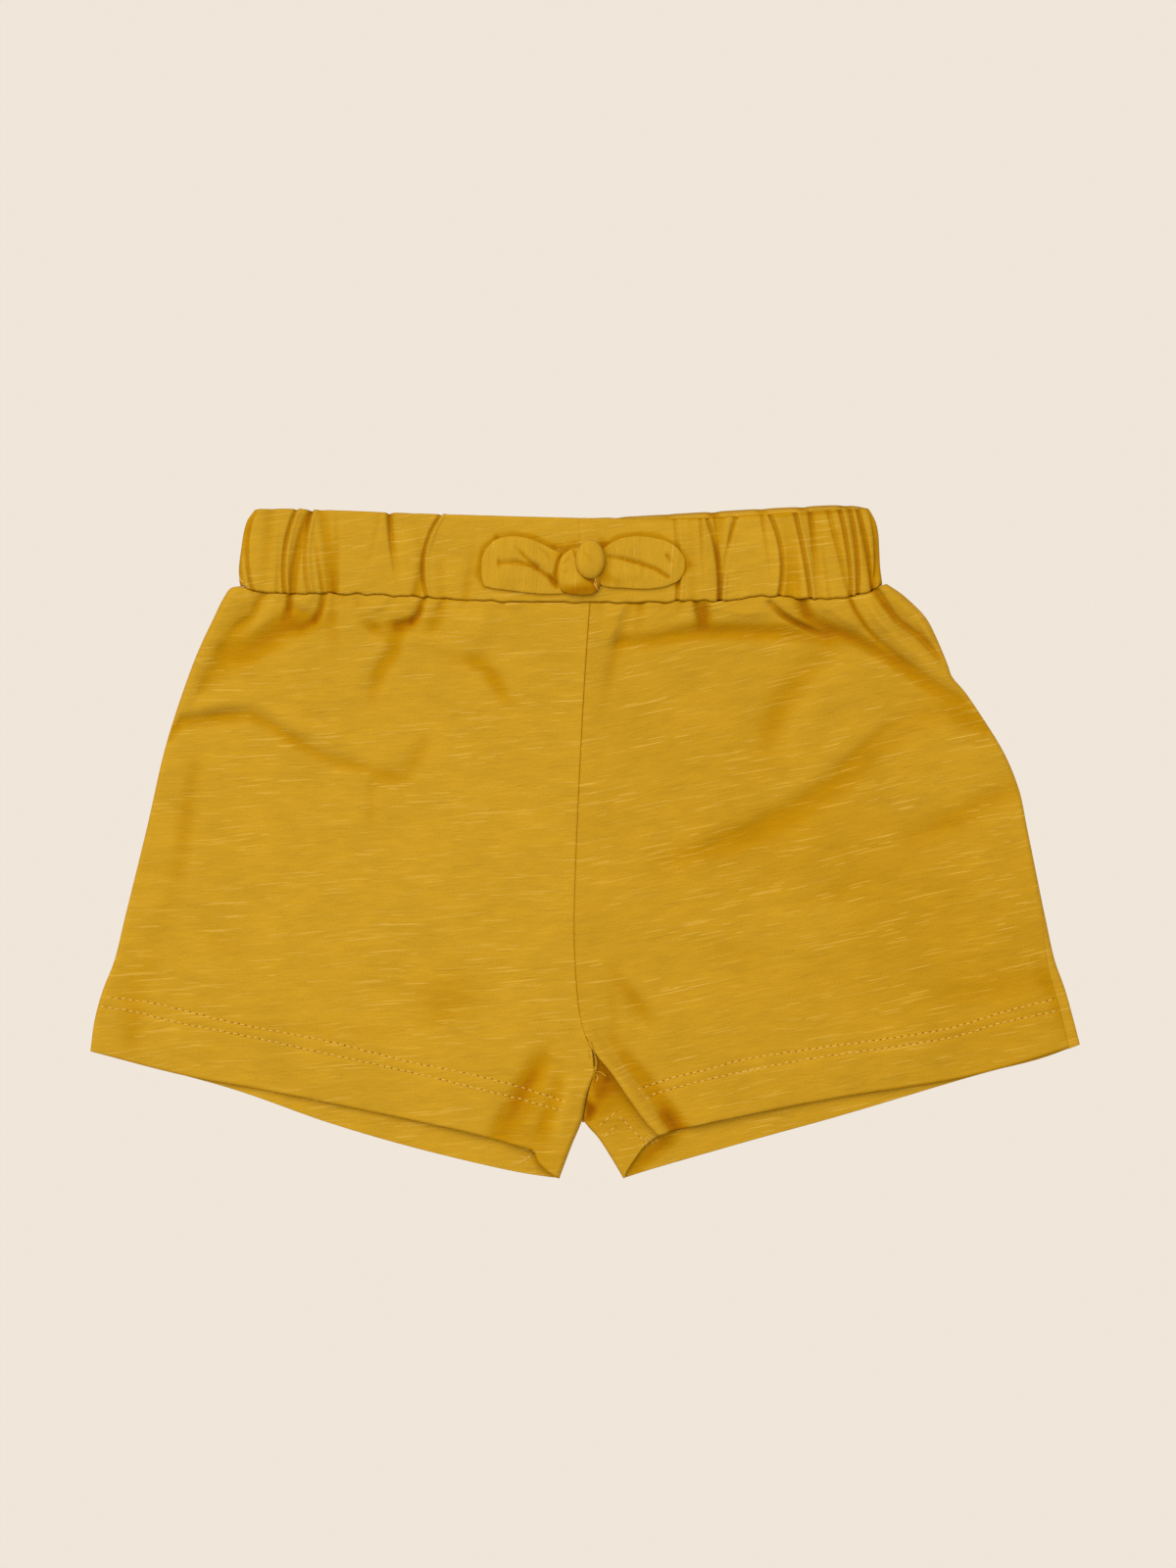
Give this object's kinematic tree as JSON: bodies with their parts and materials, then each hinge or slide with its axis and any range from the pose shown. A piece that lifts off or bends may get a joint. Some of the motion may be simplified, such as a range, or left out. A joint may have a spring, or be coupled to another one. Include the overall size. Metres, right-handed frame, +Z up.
{
  "type": "baby shorts laid flat",
  "caption": "Baby shorts in slub jersey laid flat: gathered elastic waistband with a small knotted bow, short flared legs with turned hems, seamed at centre, sides and inner legs.",
  "frame": {"origin": "on the surface that the garment lies on, under the middle of its outline", "axes": "+Z up out of the surface, towards the garment's front; +Y towards the waistband; +X to the right as seen from above with the waistband away from the viewer"},
  "size_m": [0.2925, 0.1984, 0.0136],
  "materials": {
    "jersey": "slub single jersey in mustard, matt, with fine pale streaks along the courses",
    "casing": "the same slub jersey, gathered over elastic",
    "bow": "the same slub jersey in a narrow turned tube"
  },
  "bodies": {
    "root": {"front_left": "jersey", "front_right": "jersey", "back_left": "jersey", "back_right": "jersey", "waistband": "casing", "bow_loop_left": "bow", "bow_loop_right": "bow", "bow_wrap": "bow", "bow_knot": "bow"}
  },
  "joints": []
}
